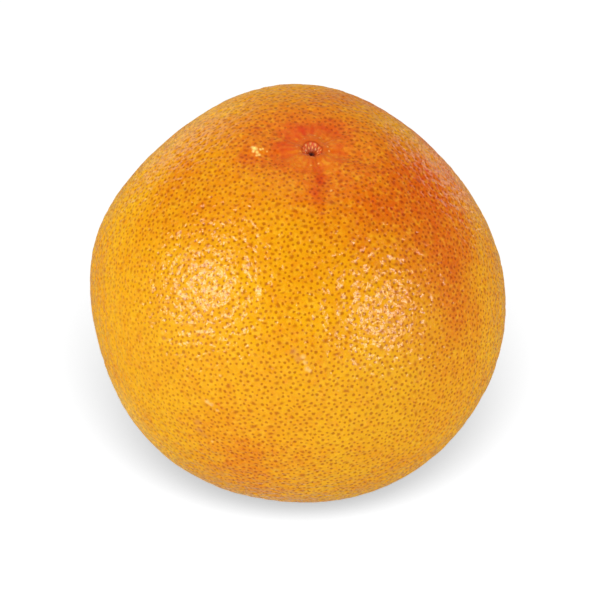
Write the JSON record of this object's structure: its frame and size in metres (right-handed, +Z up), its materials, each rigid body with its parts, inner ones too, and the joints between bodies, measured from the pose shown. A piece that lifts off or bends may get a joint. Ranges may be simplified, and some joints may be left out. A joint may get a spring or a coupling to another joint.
{
  "type": "grapefruit",
  "caption": "Whole grapefruit resting a little tipped on a small flat spot: an uneven ball with pored peel, a furrowed stem end with a small open scar, and a dimple at the blossom end.",
  "frame": {"origin": "centre of the small flat spot that the fruit lies on", "axes": "+Z is up and out of the flat spot's back; -Y is the front, towards which the stem end leans; +X is the right of the fruit seen from the front"},
  "size_m": [0.1044, 0.1046, 0.1039],
  "materials": {
    "peel": "satin"
  },
  "bodies": {
    "root": {"grapefruit": "peel"}
  },
  "joints": []
}
